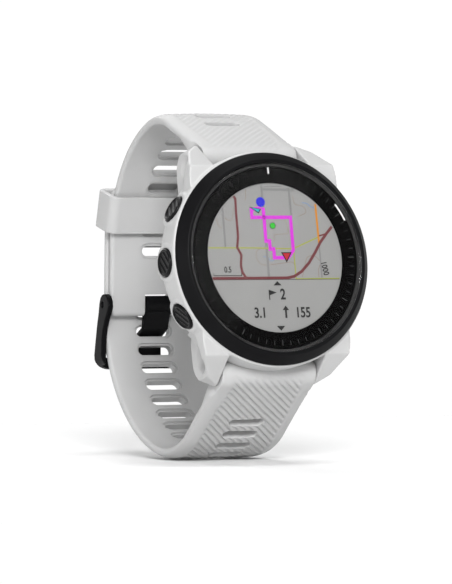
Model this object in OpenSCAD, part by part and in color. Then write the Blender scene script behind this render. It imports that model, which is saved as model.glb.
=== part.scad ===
// GPS running watch, buckled and standing on its strap loop, with the dial facing -Y.
// Everything is drawn in the head's own frame and then leaned back by stand():
//   y = 0 is the front of the glass and +y runs back towards the wrist,
//   +z is 12 o'clock, +x is 3 o'clock.
// All sizes are in millimetres.

/* [Head] */
// Outer radius of the bezel ring
bezel_r = 21.6; // [21.2:0.1:21.8]
// Radius of the cover glass
glass_r = 19.2; // [19:0.1:19.3]
// Thickness of the cover glass
glass_t = 0.8; // [0.6:0.1:1.4]
// Radius of the visible display
display_r = 15.15; // [14.5:0.05:15.5]
// Largest radius of the case
case_r = 22; // [21.9:0.1:22.2]
// Angle between a side button and 9 or 3 o'clock
button_angle = 29.7; // [28:0.1:32]
// Radius of a button cap
button_r = 2.8; // [2.5:0.1:2.8]
// Distance from the dial's axis to a button's face
button_face = 22.4; // [22.3:0.1:22.6]
// Depth of the buttons' centres behind the glass
button_y = 6.36; // [6.2:0.02:6.5]
// How far a button can be pushed in
button_travel = 0.6; // [0.3:0.1:0.6]

/* [Strap] */
// Half the width of the strap
strap_w = 11.1; // [10.9:0.1:11.2]
// Distance from one slot of the long strap to the next at the back
long_pitch = 4.16; // [4.1:0.01:4.2]
// The same on the front part of the strap
front_pitch = 3.83; // [3.75:0.01:3.9]
// Distance from one slot of the short strap to the next
short_pitch = 4.6; // [4.5:0.05:4.8]
// Half the length of a slot
slot_w = 3.85; // [3.5:0.05:4.4]
// Half the height of a slot
slot_r = 1.05; // [0.9:0.05:1.3]
// Slots in the long strap
long_slots = 20; // [16:1:21]
// Slots in the short strap
short_slots = 11; // [8:1:11]

/* [Buckle] */
// Half the length of the buckle pin
buckle_pin_w = 12.3; // [12:0.1:12.4]
// Radius of the buckle pin
buckle_pin_r = 0.65; // [0.55:0.05:0.65]
// Height of the keeper along the strap
keeper_h = 7.8; // [6:0.1:8.5]

/* [Stance] */
// How far the head leans back
lean = 10.4; // [10:0.1:11]

/* [Hidden] */

white = [0.9, 0.9, 0.89];
black = [0.08, 0.08, 0.085];
smooth = 96;

// Button angles, counted from +x towards +z
a_light = 180 - button_angle;
a_up = 180;
a_down = 180 + button_angle;
a_start = button_angle;
a_back = -button_angle;
BUTTONS = [a_light, a_up, a_down, a_start, a_back];

// Depths through the head
seat_y = 2.5;          // case rim under the bezel
flange_y = 10.2;       // front of the inner flange
cover_y = 11.2;        // back of the inner flange
back_y = 12.6;         // back of the case
cavity_r = 18.4;
flange_r = 15.6;
cover_r = 17.7;

// Lugs and spring bars
lug_in = 10.9;
lug_out = 13.9;       // outer side at the ends
lug_root = 16.6;      // outer side beside the shell
bezel_lip = 19.4;     // radius of the ring's foremost edge
bar_y = 10.4;
bar_z = 22;
bar_tube_r = 0.9;
bar_bore_r = 0.94;
bar_pin_r = 0.55;
bar_tip_r = 0.42;
knuckle_r = 3.0;
knuckle_w = 10.6;
relief = 0.15;         // gap between the case and the strap's knuckle

// ---------------------------------------------------------------- tracks
// A track is a start point [y, z], a heading and a list of arcs [length, turn].
// Straight stretches have a turn of 0, and the outer side is on the left.
function advance(p, h, len, turn) =
    turn == 0
    ? [p[0] + len * cos(h), p[1] + len * sin(h)]
    : let (r = len * 180 / (PI * turn))
      [p[0] + r * (sin(h + turn) - sin(h)), p[1] - r * (cos(h + turn) - cos(h))];
function along(p, h, arcs, s, i = 0) =
    (s <= arcs[i][0] || i == len(arcs) - 1)
    ? let (turn = arcs[i][1] * s / arcs[i][0], q = advance(p, h, s, turn)) [q[0], q[1], h + turn]
    : along(advance(p, h, arcs[i][0], arcs[i][1]), h + arcs[i][1], arcs, s - arcs[i][0], i + 1);
function total(arcs, i = 0) = i == len(arcs) ? 0 : arcs[i][0] + total(arcs, i + 1);
// A point n outside the track at distance s
function beside(at, n) = [at[0] - n * sin(at[2]), at[1] + n * cos(at[2])];

// Short strap: from the 12 o'clock lugs over the top and down to the buckle pin
short_p = [9.5, 23.6];
short_h = 33.6;
short_arcs = [[15.2, -2.8], [8.5, -41.3], [31.8, -67.7], [15.4, 0]];
short_len = total(short_arcs);
pin_s = short_len - 2.4;
short_wrap = short_arcs[0][0] + short_arcs[1][0] + short_arcs[2][0];

// The keeper slides round the short strap's third arc
wrap_r = short_arcs[2][0] * 180 / (PI * -short_arcs[2][1]);
wrap_end = along(short_p, short_h, short_arcs, short_wrap);
wrap_c = beside(wrap_end, -wrap_r);

// Long strap: from its tip under the keeper, down past the buckle and round to 6 o'clock
layer = 2.45;          // from one strap's middle to the other's under the keeper
tip_angle = 42;
leave_angle = 11.8;
long_r = wrap_r + layer;
long_p = [wrap_c[0] + long_r * cos(tip_angle), wrap_c[1] + long_r * sin(tip_angle)];
long_h = tip_angle - 90;
long_arcs = [
    [long_r * (tip_angle - leave_angle) * PI / 180, leave_angle - tip_angle],
    [17.2, 0], [4, -17.9], [32, -58.7], [17.3, -56.7], [16.4, 3.8]
];
long_len = total(long_arcs);

// Half thicknesses: inner face, outer edge and crown
thin = 0.95;
inner_t = 1.1;
outer_t = 1.0;
crown_t = 1.2;
wedge = 2.6;           // how much thicker the strap is beside the case
wedge_len = 8;

function mix(a, b, t) = a + (b - a) * max(0, min(1, t));
function ease(t) = let (u = max(0, min(1, t))) u * u * (3 - 2 * u);
// d is the distance from the lugs and b the distance from the buckle's end
function t_in(d, b) = mix(thin, inner_t, (b - 18) / 20) + wedge * pow(max(0, 1 - d / wedge_len), 1.2);
function t_out(d, b) = mix(mix(0.8, thin, d / 2), mix(0.8, outer_t, d / 2), (b - 18) / 20);
function t_crown(d, b) = mix(0.3, 1, d / 2.5) * mix(thin + 0.15, crown_t, (b - 18) / 26);
function half_w(d) = mix(knuckle_w, strap_w, (d - 2.6) / 1.2);

// Cross-section of the strap: [x, n], anticlockwise seen with x right and n up
function half_section(w, ti, to, tc) = [
    [w - 0.7, -ti], [w, -ti + 0.6], [w, -0.05 * to], [w - 0.6, 0.5 * to],
    [w - 1.9, 0.9 * to], [0.45 * w, mix(to, tc, 0.72)]
];
function section(w, ti, to, tc) = concat(
    half_section(w, ti, to, tc), [[0, tc]],
    [for (i = [5:-1:0]) let (q = half_section(w, ti, to, tc)[i]) [-q[0], q[1]]]
);
module sweep(rings) {
    n = len(rings[0]);
    m = len(rings);
    polyhedron(
        points = [for (r = rings) for (p = r) p],
        faces = concat(
            [[for (i = [n - 1:-1:0]) i]],
            [for (k = [0:m - 2]) for (i = [0:n - 1])
                let (j = (i + 1) % n, a = k * n, b = a + n) [a + i, a + j, b + i]],
            [for (k = [0:m - 2]) for (i = [0:n - 1])
                let (j = (i + 1) % n, a = k * n, b = a + n) [b + i, a + j, b + j]],
            [[for (i = [0:n - 1]) (m - 1) * n + i]]
        )
    );
}
function ring_at(at, outline) = [for (q = outline) let (p = beside(at, q[1])) [q[0], p[0], p[1]]];

// A round-ended slot of half length w and half height r, from n0 to n1 across the strap
module stadium(w, r, n0, n1) {
    for (s = [-1, 1])
        translate([s * (w - r), 0, n0])
            cylinder(r = r, h = n1 - n0, $fn = 32);
    translate([r - w, -r, n0])
        cube([2 * (w - r), 2 * r, n1 - n0]);
}
// A slot through the strap at a point of its track, with a wider step on the inner side
step_w = 0.5;
step_n = -0.6;
module slot_at(at)
    translate([0, at[0], at[1]])
        rotate([at[2], 0, 0]) {
            stadium(slot_w, slot_r, -6, 6);
            stadium(slot_w + step_w, slot_r + step_w, -6, step_n);
        }

// Keeper: its opening reaches from keeper_in to keeper_top beside the short strap's middle
keeper_in = -1.7;
keeper_top = 3.85;
keeper_half = 11.4;
keeper_wall = 1.2;
keeper_corner = 2;
keeper_mid = 25;        // angle of its middle round wrap_c

// ---------------------------------------------------------------- helpers
// The lowest point of the loop and its depth set where the row's origin lies
function world_z(q) = -q[0] * sin(lean) + q[1] * cos(lean);
function world_y(q) = q[0] * cos(lean) + q[1] * sin(lean);
low_points = [for (s = [0:0.5:long_len])
    world_z(beside(along(long_p, long_h, long_arcs, s), t_crown(long_len - s, 60)))];
floor_z = min(low_points);
front_y = world_y([0, -bezel_lip]);
rear_y = world_y(wrap_c) + (wrap_r + keeper_top + keeper_wall) * cos(keeper_mid - lean)
    + keeper_h / 2 * sin(keeper_mid - lean);
module stand()
    translate([0, -(front_y + rear_y) / 2, -floor_z])
        rotate([-lean, 0, 0])
            children();

// A turned solid about the dial's axis from a profile of [radius, depth]
module turned(profile)
    rotate([-90, 0, 0])
        rotate_extrude($fn = smooth)
            polygon(profile);
module disc(r, y0, y1)
    translate([0, y0, 0])
        rotate([-90, 0, 0])
            cylinder(r = r, h = y1 - y0, $fn = smooth);
module ring(r_in, r_out, y0, y1)
    difference() {
        disc(r_out, y0, y1);
        disc(r_in, y0 - 1, y1 + 1);
    }
// A rod along +x, and the same pointing out at a button's angle
module rod(r, x0, x1, facets = 48)
    translate([x0, 0, 0])
        rotate([0, 90, 0])
            cylinder(r = r, h = x1 - x0, $fn = facets);
module at_button(a)
    translate([0, button_y, 0])
        rotate([0, -a, 0])
            children();
// A rod along x through a point of the side view
module cross_rod(r, x0, x1, y, z, facets = 48)
    translate([0, y, z])
        rod(r, x0, x1, facets);
// A plate cut to an outline [y, z] of the side view, from x0 to x1
module side_plate(x0, x1, outline)
    translate([x0, 0, 0])
        rotate([90, 0, 90])
            linear_extrude(height = x1 - x0)
                polygon(outline);
module box(x0, x1, y0, y1, z0, z1)
    translate([x0, y0, z0])
        cube([x1 - x0, y1 - y0, z1 - z0]);
// A rounded rectangle of half sizes a and b, made of squares and circles
module rounded_rect(a, b, r) {
    square([2 * a, 2 * (b - r)], center = true);
    square([2 * (a - r), 2 * b], center = true);
    for (u = [-1, 1], v = [-1, 1])
        translate([u * (a - r), v * (b - r)])
            circle(r = r, $fn = 32);
}

// ---------------------------------------------------------------- head shell
flank = [
    [0, seat_y], [21.75, seat_y], [case_r, seat_y + 0.4], [case_r, 6.8], [21.75, 8.2],
    [21.2, 9.5], [20.5, 10.6], [19.7, 11.6], [18.9, 12.3], [18.2, back_y], [0, back_y]
];
lug = [
    [2.9, 15], [3.05, 19.2], [6.3, 21.8], [9.3, 24.2], [10, 24.45], [10.7, 24.3],
    [13.3, 21.5], [13.8, 20.4], [14, 18.5], [14, 15.5], [13.2, 13], [back_y, 11], [4, 11]
];
// The lugs from the front, [x, z]: the ends are cut aslant and the sides flow into the shell
lug_plan = [
    [lug_in, 24.6], [lug_out, 22.85], [16.2, 19.4], [lug_root, 17.2], [lug_root, 14], [lug_in, 11]
];
// Only the front of a lug flares out to the shell
lug_flare = [
    [2.9, 15], [3.05, 19.2], [6.3, 21.8], [8.3, 23.4], [9.5, 22.5], [10.4, 19.5], [10.8, 15],
    [10.8, 11], [4, 11]
];
module lugs()
    for (sx = [0, 1], sz = [0, 1])
        mirror([sx, 0, 0])
            mirror([0, 0, sz])
                intersection() {
                    union() {
                        side_plate(lug_in, lug_out, lug);
                        side_plate(lug_out - 1, lug_root, lug_flare);
                    }
                    rotate([-90, 0, 0])
                        mirror([0, 1, 0])
                            linear_extrude(height = 20)
                                polygon(lug_plan);
                }
module scoops()
    for (sx = [0, 1], sz = [0, 1])
        mirror([sx, 0, 0])
            mirror([0, 0, sz])
                translate([17.2, 9.3, 19])
                    rotate([0, 145, 0]) {
                        sphere(r = 4.2, $fn = 48);
                        cylinder(r = 4.2, h = 2.4, $fn = 48);
                        translate([0, 0, 2.4])
                            sphere(r = 4.2, $fn = 48);
                    }
module button_bores()
    for (a = BUTTONS)
        at_button(a) {
            rod(button_r + 0.08, 20, 26);
            rod(0.95, 15, 21);
            rod(1.5, 18.85, 19.55);
        }
screw_r = 16.35;
module at_screws()
    for (a = [45:90:315])
        rotate([0, a, 0])
            translate([screw_r, 0, 0])
                children();
module case() color(white)
    difference() {
        union() {
            turned(flank);
            lugs();
            for (a = BUTTONS)
                at_button(a)
                    rod(3.8, 18, 21.95);
        }
        disc(cavity_r, 0, flange_y);
        disc(flange_r, flange_y - 1, 20);
        disc(cover_r, cover_y, 20);
        ring(17.1, 17.6, cover_y - 0.3, cover_y + 0.1);
        at_screws()
            disc(0.52, flange_y - 1, cover_y + 1);
        button_bores();
        scoops();
        for (sz = [0, 1])
            mirror([0, 0, sz]) {
                cross_rod(bar_tip_r + 0.05, -12.1, 12.1, bar_y, bar_z);
                cross_rod(knuckle_r + relief, -lug_in, lug_in, bar_y, bar_z);
                box(-lug_in, lug_in, bar_y, 16, bar_z - knuckle_r - relief, 30);
            }
    }

module bezel_ring() color(black)
    turned([
        [19.25, 0.1], [bezel_lip, 0], [19.8, 0.08], [21.3, 1.6], [bezel_r, 2.05],
        [bezel_r, seat_y], [18.5, seat_y], [18.5, glass_t + 0.15], [19.25, glass_t + 0.15]
    ]);
module cover_glass() color([0.2, 0.2, 0.22, 0.3])
    turned([[0, 0], [glass_r - 0.2, 0], [glass_r, 0.2], [glass_r, glass_t], [0, glass_t]]);
module glass_gasket() color("black")
    ring(18.55, 19.15, glass_t, glass_t + 0.15);
module dial_mask() color("black")
    ring(display_r, 18.4, glass_t + 0.02, glass_t + 0.18);

// ---------------------------------------------------------------- inside
panel_r = 17.2;
panel_y = glass_t + 0.3;
module display_panel() color([0.7, 0.7, 0.68])
    disc(panel_r, panel_y, panel_y + 1);
module backlight_plate() color("white")
    disc(panel_r, panel_y + 1, 3.4);
module display_holder() color([0.15, 0.15, 0.16])
    difference() {
        disc(18.3, panel_y + 0.05, 4.2);
        disc(panel_r + 0.05, 1, 3.4);
        box(-2.2, 2.2, 3, 5, -20, -15.7);
    }
module display_flex() color([0.75, 0.45, 0.15])
    side_plate(-2, 2, [
        [3.5, -15.9], [3.5, -17.5], [4.3, -17.8], [4.9, -15.7], [4.9, -12], [4.98, -12],
        [4.98, -15.9], [4.35, -18], [3.42, -17.6], [3.42, -15.9]
    ]);
module gps_antenna() color([0.8, 0.65, 0.3])
    difference() {
        ring(17.3, 18.2, 8.3, 10.1);
        box(-3, 3, 8, 11, -19, 0);
    }
module main_board() color([0.1, 0.35, 0.2])
    difference() {
        disc(15.8, 5, 5.8);
        for (a = [90, 210, 330])
            rotate([0, a, 0])
                translate([14.4, 0, 0])
                    disc(0.8, 4, 7);
    }
CHIPS = [[-9, -2, 8, 7], [1, -2, 6, 6], [-6, -10.5, 5, 5], [2, 7, 9, 4], [8.5, -3, 4, 6]];
module board_chips() color([0.2, 0.2, 0.2])
    for (c = CHIPS)
        box(c[0], c[0] + c[2], 4.4, 5, c[1], c[1] + c[3]);
battery_w = 10.5;
battery_h = 8.2;
battery_z = 2.8;
motor_z = -10.2;
module chassis() color([0.25, 0.25, 0.27])
    difference() {
        disc(16, 5.8, 10.1);
        box(-battery_w - 0.1, battery_w + 0.1, 6.6, 11, battery_z - battery_h - 0.1,
            battery_z + battery_h + 0.1);
        translate([-5.5, 0, motor_z])
            disc(3.5, 6.6, 11);
        translate([5.5, 0, motor_z])
            disc(4.1, 6.6, 11);
    }
module battery() color([0.75, 0.75, 0.78])
    box(-battery_w, battery_w, 6.6, 9.9, battery_z - battery_h, battery_z + battery_h);
module vibration_motor() color([0.8, 0.8, 0.8])
    translate([-5.5, 0, motor_z]) {
        disc(3.4, 6.6, 9.2);
        disc(1.1, 9.2, 9.5);
    }
module beeper() color([0.8, 0.7, 0.35])
    translate([5.5, 0, motor_z]) {
        disc(4, 6.6, 6.9);
        disc(2.9, 6.9, 7.2);
    }
module vent_membrane() color("white")
    translate([0, 0, 12.4])
        disc(1.3, 11, cover_y);

// ---------------------------------------------------------------- back
window_r = 8.55;
port_z = -12.6;
module back_cover() color([0.13, 0.13, 0.14])
    difference() {
        disc(cover_r - 0.1, cover_y, back_y);
        disc(window_r + 0.05, 12.1, 14);
        disc(7.6, 10, 14);
        box(-4, 4, 10, 14, port_z - 1.9, port_z + 1.9);
        at_screws() {
            disc(0.55, 10, 14);
            disc(1.05, 12.1, 14);
        }
        for (x = [-0.8, 0, 0.8])
            translate([x, 0, 12.4])
                disc(0.25, 10, 14);
    }
module back_seal() color([0.15, 0.15, 0.15])
    ring(17.15, 17.55, cover_y - 0.3, cover_y);
module back_screws() color([0.7, 0.7, 0.72])
    at_screws()
        difference() {
            union() {
                disc(0.5, 10.4, 12.1);
                disc(1, 12.1, 12.55);
            }
            disc(0.45, 12.3, 14);
        }
module sensor_window() color([0.05, 0.05, 0.06])
    turned([
        [0, 12.1], [window_r, 12.1], [window_r, back_y + 0.1], [7.8, 13.35], [6.4, 13.7],
        [4.5, 13.86], [0, 13.9]
    ]);
module sensor_board() color([0.1, 0.35, 0.2])
    disc(8, 10.4, 11);
module sensor_leds() color([0.2, 0.8, 0.3])
    for (a = [0:60:300])
        rotate([0, a, 0])
            box(4.1, 5.9, 11, 11.8, -0.9, 0.9);
module charge_port() color([0.1, 0.1, 0.1])
    difference() {
        box(-4, 4, 11, back_y - 0.3, port_z - 1.9, port_z + 1.9);
        for (i = [-1.5:1:1.5])
            translate([1.7 * i, 0, port_z])
                disc(0.46, 10, 14);
    }
module charge_contacts() color([0.85, 0.7, 0.35])
    for (i = [-1.5:1:1.5])
        translate([1.7 * i, 0, port_z])
            disc(0.46, 10.8, back_y - 0.15);

// ---------------------------------------------------------------- buttons
cap_foot = 20.65;
clip_r0 = 18;
clip_r1 = 18.28;
module button(a) color(black)
    at_button(a)
        difference() {
            union() {
                rod(button_r, cap_foot, button_face);
                rod(0.9, 17.05, cap_foot);
            }
            difference() {
                rod(1.2, clip_r0, clip_r1 + 0.02);
                rod(0.7, 17, 19);
            }
            rod(button_r - 0.5, button_face - 0.15, 30);
        }
module clip(a) color([0.7, 0.7, 0.72])
    at_button(a)
        difference() {
            rod(1.45, clip_r0, clip_r1);
            rod(0.7, 17, 19);
            box(17, 19, -0.55, 0.55, 0, 3);
        }
module button_light() button(a_light);
module button_up() button(a_up);
module button_down() button(a_down);
module button_start() button(a_start);
module button_back() button(a_back);
module clip_light() clip(a_light);
module clip_up() clip(a_up);
module clip_down() clip(a_down);
module clip_start() clip(a_start);
module clip_back() clip(a_back);
module button_seals() color([0.2, 0.2, 0.2])
    for (a = BUTTONS)
        at_button(a)
            difference() {
                rod(1.5, 18.85, 19.55);
                rod(0.93, 18, 20);
            }
module switch_flex() color([0.75, 0.45, 0.15])
    ring(16, 16.1, 5.4, 7.4);
module button_switches() color([0.8, 0.8, 0.8])
    for (a = BUTTONS)
        at_button(a)
            rod(0.85, 16.1, 16.4);

// ---------------------------------------------------------------- spring bars
lever_x = 6.4;
lever_w = 1;
lever_travel = 1.4;
module upper() translate([0, bar_y, bar_z]) children();
module lower() translate([0, bar_y, -bar_z]) children();
// The window in the strap through which a thumb reaches the lever
module lever_window(side)
    translate([0, bar_y, side * bar_z])
        box(lever_x - lever_travel - 0.3, lever_x + lever_w + 0.3, 0, 8, -0.8, 0.8);
module bar_tube() color([0.7, 0.7, 0.72])
    difference() {
        rod(bar_tube_r, -8.6, 8.6);
        rod(bar_pin_r + 0.05, -9, 9);
        box(lever_x - lever_travel - 0.3, 9, 0, 2, -0.65, 0.65);
    }
module bar_pin() color([0.7, 0.7, 0.72]) {
    rod(bar_pin_r, -10.5, -4);
    rod(bar_tip_r, -12, -10.5);
}
module bar_lever() color([0.7, 0.7, 0.72]) {
    rod(bar_pin_r, 3.5, 10.5);
    rod(bar_tip_r, 10.5, 12);
    box(lever_x, lever_x + lever_w, 0, 3.2, -0.4, 0.4);
}
module upper_bar_tube() upper() bar_tube();
module upper_bar_pin() upper() bar_pin();
module upper_bar_lever() upper() bar_lever();
module lower_bar_tube() lower() bar_tube();
module lower_bar_pin() lower() bar_pin();
module lower_bar_lever() lower() bar_lever();

// ---------------------------------------------------------------- straps
step = 1.3;
short_stops = concat([0, 1, 2, 2.6, 3.2, 3.8], [for (s = [5:step:short_len - 1]) s], [short_len]);
long_stops = concat([0, 0.3, 0.9, 1.8, 3, 4.2], [for (s = [5.5:step:long_len - 4.5]) s],
    [long_len - 3.8, long_len - 3.2, long_len - 2.6, long_len - 2, long_len - 1, long_len]);
module slots(p, h, arcs, distances)
    for (s = distances)
        slot_at(along(p, h, arcs, s));
short_first = 11.4;
long_first = 11.7;
front_slots = 6;
// Distance from the lugs to slot i of the long strap
function long_slot(i) =
    long_first + front_pitch * min(i, front_slots) + long_pitch * max(0, i - front_slots);
// The long strap's half width narrows round its tip, and the short one has a notch
tip_len = 7;
function tip_w(s) = strap_w - 6 * pow(max(0, 1 - s / tip_len), 2);
notch_w = 3.2;
module strap_short() color(white)
    difference() {
        union() {
            sweep([for (s = short_stops)
                ring_at(along(short_p, short_h, short_arcs, s),
                    section(half_w(s), t_in(s, short_len - s), t_out(s, short_len - s),
                        t_crown(s, short_len - s)))]);
            cross_rod(knuckle_r, -knuckle_w, knuckle_w, bar_y, bar_z, smooth);
            let (q = beside(along(short_p, short_h, short_arcs, pin_s), -0.3))
                cross_rod(1.45, -strap_w, strap_w, q[0], q[1], smooth);
        }
        slots(short_p, short_h, short_arcs,
            [for (i = [0:short_slots - 1]) short_first + short_pitch * i]);
        cross_rod(bar_bore_r, -20, 20, bar_y, bar_z);
        lever_window(1);
        let (q = along(short_p, short_h, short_arcs, pin_s)) {
            cross_rod(buckle_pin_r + 0.03, -20, 20, q[0], q[1]);
            translate([0, q[0], q[1]])
                rotate([q[2], 0, 0])
                    box(-notch_w, notch_w, -2.05, 9, -5, 5);
        }
    }
module strap_long() color(white)
    difference() {
        union() {
            sweep([for (s = long_stops)
                ring_at(along(long_p, long_h, long_arcs, s),
                    section(min(half_w(long_len - s), tip_w(s)), t_in(long_len - s, s),
                        t_out(long_len - s, s), t_crown(long_len - s, s)))]);
            cross_rod(knuckle_r, -knuckle_w, knuckle_w, bar_y, -bar_z, smooth);
        }
        slots(long_p, long_h, long_arcs,
            [for (i = [0:long_slots - 1]) long_len - long_slot(i)]);
        cross_rod(bar_bore_r, -20, 20, bar_y, -bar_z);
        lever_window(-1);
    }

// ---------------------------------------------------------------- buckle
pin_at = along(short_p, short_h, short_arcs, pin_s);
module at_pin()
    translate([0, pin_at[0], pin_at[1]])
        children();
arm_in = 11.4;
arm_out = 12.6;
bar_top = -10.9;
bar_bottom = -13.3;
frame_back = 60.9;
frame_side = [
    [52, -1.4], [51.95, -0.3], [52.4, 0.8], [53.3, 1.5], [54.4, 1.6], [55.4, 1.1], [56.1, 0.1],
    [56.9, -1.9], [57.9, -3.9], [58.9, -6.2], [59.8, -8.4], [60.6, -10.4], [frame_back, -11.4],
    [frame_back, -12.6], [60.5, bar_bottom], [58.6, bar_bottom], [57.5, -12.4], [56.9, -10],
    [56.3, -7.6], [55.4, -5.6], [53.9, -3.6], [52.7, -2.4]
];
module buckle_frame() color(black)
    difference() {
        intersection() {
            side_plate(-arm_out, arm_out, frame_side);
            translate([0, 70, bar_bottom + 15])
                rotate([90, 0, 0])
                    linear_extrude(height = 30)
                        rounded_rect(arm_out, 15, 3);
        }
        // inside: the opening for the strap, and the bar only behind it
        box(-arm_in, arm_in, 40, 70, bar_top, 20);
        box(-arm_in, arm_in, 40, 59.35, -20, 0);
        // groove in which the tongue rests
        box(-notch_w, notch_w, 60.33, 70, -20, 0);
        cross_rod(buckle_pin_r + 0.01, -20, 20, pin_at[0], pin_at[1]);
    }
module buckle_pin() color([0.15, 0.15, 0.15])
    at_pin()
        rod(buckle_pin_r, -buckle_pin_w, buckle_pin_w);
tongue_w = 2.9;
tongue_side = [
    [53.6, -1.1], [55.35, -0.7], [56.85, -5.05], [60.5, -6.35], [61.15, -10.4], [61.15, -12.7],
    [60.9, -13], [60.6, -13], [60.35, -12.7], [60.35, -10.4], [59.7, -6.95], [56.15, -5.6]
];
module buckle_tongue() color(black)
    difference() {
        union() {
            at_pin()
                rod(1.75, -tongue_w, tongue_w);
            side_plate(-tongue_w, tongue_w, tongue_side);
        }
        at_pin() {
            rod(buckle_pin_r + 0.01, -20, 20);
            rotate([pin_at[2], 0, 0])
                box(-5, 5, -2.5, 1.5, 1.05, 5);
        }
    }

// ---------------------------------------------------------------- keeper
module keeper() color(white)
    translate([0, wrap_c[0], wrap_c[1]])
        rotate([keeper_mid, 0, 0])
            translate([0, wrap_r + (keeper_top + keeper_in) / 2, -keeper_h / 2])
                linear_extrude(height = keeper_h)
                    difference() {
                        rounded_rect(keeper_half + keeper_wall,
                            (keeper_top - keeper_in) / 2 + keeper_wall, keeper_corner);
                        square([2 * keeper_half, keeper_top - keeper_in], center = true);
                    }

stand() case();
stand() bezel_ring();
stand() cover_glass();
stand() glass_gasket();
stand() dial_mask();
stand() display_panel();
stand() backlight_plate();
stand() display_holder();
stand() display_flex();
stand() gps_antenna();
stand() main_board();
stand() board_chips();
stand() chassis();
stand() battery();
stand() vibration_motor();
stand() beeper();
stand() vent_membrane();
stand() back_cover();
stand() back_seal();
stand() back_screws();
stand() sensor_window();
stand() sensor_board();
stand() sensor_leds();
stand() charge_port();
stand() charge_contacts();
stand() button_light();
stand() button_up();
stand() button_down();
stand() button_start();
stand() button_back();
stand() clip_light();
stand() clip_up();
stand() clip_down();
stand() clip_start();
stand() clip_back();
stand() button_seals();
stand() button_switches();
stand() switch_flex();
stand() strap_short();
stand() strap_long();
stand() upper_bar_tube();
stand() upper_bar_pin();
stand() upper_bar_lever();
stand() lower_bar_tube();
stand() lower_bar_pin();
stand() lower_bar_lever();
stand() buckle_frame();
stand() buckle_tongue();
stand() buckle_pin();
stand() keeper();
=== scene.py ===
"""Looks for the running watch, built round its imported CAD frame.

Shapes are drawn in the head's own frame, in millimetres: +x is 3 o'clock, +z is 12 o'clock and
+y runs from the front of the glass back to the wrist. HEAD carries them into the CAD frame.
"""
import math

import bmesh
import bpy
from mathutils import Matrix, Vector, geometry


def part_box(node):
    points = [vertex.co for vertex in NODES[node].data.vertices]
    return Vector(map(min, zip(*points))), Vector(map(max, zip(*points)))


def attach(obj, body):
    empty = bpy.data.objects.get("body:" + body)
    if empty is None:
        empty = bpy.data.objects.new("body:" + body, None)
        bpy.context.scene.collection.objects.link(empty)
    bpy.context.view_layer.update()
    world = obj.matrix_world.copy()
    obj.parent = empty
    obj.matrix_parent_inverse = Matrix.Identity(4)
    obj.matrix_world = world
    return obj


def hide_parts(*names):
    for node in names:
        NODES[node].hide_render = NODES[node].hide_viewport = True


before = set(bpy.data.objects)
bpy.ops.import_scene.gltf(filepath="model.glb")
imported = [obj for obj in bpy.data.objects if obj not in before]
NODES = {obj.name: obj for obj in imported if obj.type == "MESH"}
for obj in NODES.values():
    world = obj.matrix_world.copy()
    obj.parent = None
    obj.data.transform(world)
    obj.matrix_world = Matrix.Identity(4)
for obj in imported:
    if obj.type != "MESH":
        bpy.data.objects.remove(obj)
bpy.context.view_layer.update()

# ---------------------------------------------------------------- the head's frame
LEAN = 10.4                 # degrees that the head leans back
PANEL_MID = 1.6             # depth of the display panel's middle behind the glass's front
low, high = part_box("display_panel")
TILT = Matrix.Rotation(math.radians(-LEAN), 4, "X")
ORIGIN = (low + high) / 2 - 0.001 * (TILT @ Vector((0, PANEL_MID, 0)))
HEAD = Matrix.Translation(ORIGIN) @ TILT @ Matrix.Scale(0.001, 4)


def mix(a, b, t):
    return a + (b - a) * max(0.0, min(1.0, t))


def round_off(t):
    """How far a rounded edge lies below the full height: 1 at the edge (t = 0), 0 at t = 1."""
    return 1 - math.sqrt(max(0, 1 - (1 - t) ** 2))


def frange(a, b, step):
    """Evenly spaced values from a to b, both included, about step apart."""
    count = max(1, round(abs(b - a) / step))
    return [a + (b - a) * k / count for k in range(count + 1)]


def link(name, data):
    """A new object in the scene that shows the data."""
    obj = bpy.data.objects.new(name, data)
    bpy.context.scene.collection.objects.link(obj)
    return obj


# ---------------------------------------------------------------- materials
COAT_ROUGH = 0.08
SKIN_TINT, SKIN_DEPTH = (1, 0.9, 0.8), 0.0006       # how light spreads under a rubber surface
GLASS_TINT, GLASS_IOR = (0.97, 0.97, 0.97, 1), 1.15


def new_material(name):
    mat = bpy.data.materials.new(name)
    mat.use_nodes = True
    tree = mat.node_tree
    tree.nodes.clear()
    return mat, tree


def noise(tree, coords, size_mm, detail=2.0, stretch=(1, 1, 1)):
    """A noise texture's factor with features of that size."""
    mapping = tree.nodes.new("ShaderNodeMapping")
    mapping.inputs["Scale"].default_value = stretch
    tree.links.new(coords.outputs["Object"], mapping.inputs["Vector"])
    tex = tree.nodes.new("ShaderNodeTexNoise")
    tex.inputs["Scale"].default_value = 1000 / size_mm
    tex.inputs["Detail"].default_value = detail
    tree.links.new(mapping.outputs["Vector"], tex.inputs["Vector"])
    return tex.outputs["Fac"]


def map_range(tree, value, to_min, to_max, from_min=0.3, from_max=0.7):
    node = tree.nodes.new("ShaderNodeMapRange")
    node.inputs["From Min"].default_value = from_min
    node.inputs["From Max"].default_value = from_max
    node.inputs["To Min"].default_value = to_min
    node.inputs["To Max"].default_value = to_max
    tree.links.new(value, node.inputs["Value"])
    return node.outputs["Result"]


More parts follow.
